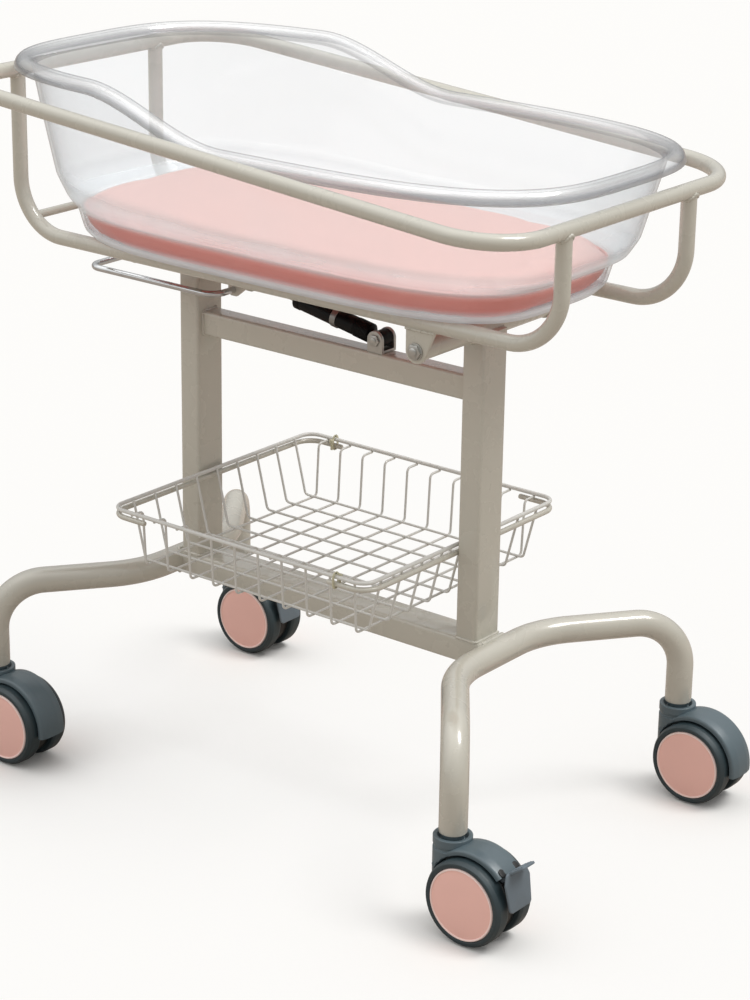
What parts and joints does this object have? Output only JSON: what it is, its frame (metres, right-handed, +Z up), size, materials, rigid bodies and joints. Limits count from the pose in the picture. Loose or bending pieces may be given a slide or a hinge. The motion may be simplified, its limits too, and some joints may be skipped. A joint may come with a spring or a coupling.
{
  "type": "hospital bassinet",
  "caption": "Wheeled hospital bassinet: a clear tub with a mattress in a tilting tube cradle, on a steel stand with a wire basket and swivel casters.",
  "frame": {"origin": "on the floor, under the middle of the outline", "axes": "+X from the head to the foot, +Y to the right side of the bassinet, +Z up"},
  "size_m": [0.8576, 0.5188, 0.86],
  "materials": {
    "frame_paint": "warm light grey gloss powder coat",
    "basket_coating": "light grey dipped plastic coating on wire",
    "caster_plastic": "satin slate grey moulded plastic",
    "tyre_rubber": "dark slate grey soft tread",
    "cover_plastic": "satin salmon pink moulded cover",
    "zinc_steel": "zinc plated",
    "spring_black": "black gloss paint",
    "chrome": "bright chrome plate",
    "pad_rubber": "matt black",
    "tub_clear": "clear moulded plastic",
    "mattress_cover": "pale salmon woven cover"
  },
  "bodies": {
    "frame": {"base_beam": "frame_paint", "head_leg_tube": "frame_paint", "foot_leg_tube": "frame_paint", "head_upright": "frame_paint", "foot_upright": "frame_paint", "upper_beam": "frame_paint", "pivot_tube": "frame_paint", "rest_pad": "pad_rubber", "head_basket_carrier": "frame_paint", "foot_basket_carrier": "frame_paint", "basket_floor": "basket_coating", "basket_left_side": "basket_coating", "basket_right_side": "basket_coating", "basket_head_end": "basket_coating", "basket_foot_end": "basket_coating", "spring_clevis": "zinc_steel", "clevis_pin": "zinc_steel"},
    "cradle": {"top_rail": "frame_paint", "rest_cross_tube": "frame_paint", "lift_cross_tube": "frame_paint", "head_stay": "frame_paint", "left_cradle_tube": "frame_paint", "right_cradle_tube": "frame_paint", "left_hinge_ear": "frame_paint", "right_hinge_ear": "frame_paint", "left_hinge_bolt": "zinc_steel", "right_hinge_bolt": "zinc_steel", "spring_bracket": "frame_paint", "bracket_pin": "zinc_steel"},
    "gas_spring_cylinder": {"spring_cylinder": "spring_black"},
    "gas_spring_rod": {"spring_rod": "chrome"},
    "tilt_lever": {"release_lever": "chrome"},
    "tub_body": {"tub": "tub_clear"},
    "mattress_body": {"mattress": "mattress_cover"},
    "head_left_caster": {"head_left_caster_body": "caster_plastic", "head_left_axle": "zinc_steel"},
    "head_left_left_roller": {"head_left_left_wheel": "tyre_rubber", "head_left_left_cover": "cover_plastic"},
    "head_left_right_roller": {"head_left_right_wheel": "tyre_rubber", "head_left_right_cover": "cover_plastic"},
    "head_right_caster": {"head_right_caster_body": "caster_plastic", "head_right_axle": "zinc_steel"},
    "head_right_left_roller": {"head_right_left_wheel": "tyre_rubber", "head_right_left_cover": "cover_plastic"},
    "head_right_right_roller": {"head_right_right_wheel": "tyre_rubber", "head_right_right_cover": "cover_plastic"},
    "head_right_pedal": {"head_right_brake_pedal": "caster_plastic"},
    "foot_left_caster": {"foot_left_caster_body": "caster_plastic", "foot_left_axle": "zinc_steel"},
    "foot_left_left_roller": {"foot_left_left_wheel": "tyre_rubber", "foot_left_left_cover": "cover_plastic"},
    "foot_left_right_roller": {"foot_left_right_wheel": "tyre_rubber", "foot_left_right_cover": "cover_plastic"},
    "foot_left_pedal": {"foot_left_brake_pedal": "caster_plastic"},
    "foot_right_caster": {"foot_right_caster_body": "caster_plastic", "foot_right_axle": "zinc_steel"},
    "foot_right_left_roller": {"foot_right_left_wheel": "tyre_rubber", "foot_right_left_cover": "cover_plastic"},
    "foot_right_right_roller": {"foot_right_right_wheel": "tyre_rubber", "foot_right_right_cover": "cover_plastic"}
  },
  "joints": [
    {"name": "cradle_tilt", "type": "hinge", "parent": "frame", "child": "cradle", "pos_m": [0.182, 0, 0.604], "axis": [0, 1, 0], "range_deg": [0, 12]},
    {"name": "spring_swing", "type": "hinge", "parent": "frame", "child": "gas_spring_cylinder", "pos_m": [0.04, 0, 0.564], "axis": [0, 1, 0], "range_deg": [-1, 21]},
    {"name": "spring_stroke", "type": "slide", "parent": "gas_spring_cylinder", "child": "gas_spring_rod", "axis": [-0.983, 0, 0.1834], "range_m": [-0.0002, 0.0185]},
    {"name": "lever_squeeze", "type": "hinge", "parent": "cradle", "child": "tilt_lever", "pos_m": [-0.172, 0, 0.586], "axis": [0, 1, 0], "range_deg": [0, 10], "stiffness_Nm_per_rad": 0.6},
    {"name": "tub_lift", "type": "slide", "parent": "cradle", "child": "tub_body", "axis": [0, 0, 1], "range_m": [0, 0.3]},
    {"name": "mattress_lift", "type": "slide", "parent": "tub_body", "child": "mattress_body", "axis": [0, 0, 1], "range_m": [0, 0.25]},
    {"name": "head_left_swivel", "type": "hinge", "parent": "frame", "child": "head_left_caster", "pos_m": [-0.378, -0.226, 0.112], "axis": [0, 0, 1], "continuous": true},
    {"name": "head_left_left_roll", "type": "hinge", "parent": "head_left_caster", "child": "head_left_left_roller", "pos_m": [-0.342, -0.226, 0.05], "axis": [0, 1, 0], "continuous": true},
    {"name": "head_left_right_roll", "type": "hinge", "parent": "head_left_caster", "child": "head_left_right_roller", "pos_m": [-0.342, -0.226, 0.05], "axis": [0, 1, 0], "continuous": true},
    {"name": "head_right_swivel", "type": "hinge", "parent": "frame", "child": "head_right_caster", "pos_m": [-0.378, 0.226, 0.112], "axis": [0, 0, 1], "continuous": true},
    {"name": "head_right_left_roll", "type": "hinge", "parent": "head_right_caster", "child": "head_right_left_roller", "pos_m": [-0.342, 0.226, 0.05], "axis": [0, 1, 0], "continuous": true},
    {"name": "head_right_right_roll", "type": "hinge", "parent": "head_right_caster", "child": "head_right_right_roller", "pos_m": [-0.342, 0.226, 0.05], "axis": [0, 1, 0], "continuous": true},
    {"name": "head_right_brake", "type": "hinge", "parent": "head_right_caster", "child": "head_right_pedal", "pos_m": [-0.3046, 0.226, 0.08612], "axis": [0, 1, 0], "range_deg": [0, 6]},
    {"name": "foot_left_swivel", "type": "hinge", "parent": "frame", "child": "foot_left_caster", "pos_m": [0.326, -0.226, 0.112], "axis": [0, 0, 1], "continuous": true},
    {"name": "foot_left_left_roll", "type": "hinge", "parent": "foot_left_caster", "child": "foot_left_left_roller", "pos_m": [0.362, -0.226, 0.05], "axis": [0, 1, 0], "continuous": true},
    {"name": "foot_left_right_roll", "type": "hinge", "parent": "foot_left_caster", "child": "foot_left_right_roller", "pos_m": [0.362, -0.226, 0.05], "axis": [0, 1, 0], "continuous": true},
    {"name": "foot_left_brake", "type": "hinge", "parent": "foot_left_caster", "child": "foot_left_pedal", "pos_m": [0.3994, -0.226, 0.08612], "axis": [0, 1, 0], "range_deg": [0, 6]},
    {"name": "foot_right_swivel", "type": "hinge", "parent": "frame", "child": "foot_right_caster", "pos_m": [0.326, 0.226, 0.112], "axis": [0, 0, 1], "continuous": true},
    {"name": "foot_right_left_roll", "type": "hinge", "parent": "foot_right_caster", "child": "foot_right_left_roller", "pos_m": [0.362, 0.226, 0.05], "axis": [0, 1, 0], "continuous": true},
    {"name": "foot_right_right_roll", "type": "hinge", "parent": "foot_right_caster", "child": "foot_right_right_roller", "pos_m": [0.362, 0.226, 0.05], "axis": [0, 1, 0], "continuous": true}
  ],
  "couplings": [
    {"joint": "spring_swing", "follows": "cradle_tilt", "ratio": 1.582},
    {"joint": "spring_stroke", "follows": "cradle_tilt", "m_per_rad": 0.086278}
  ]
}
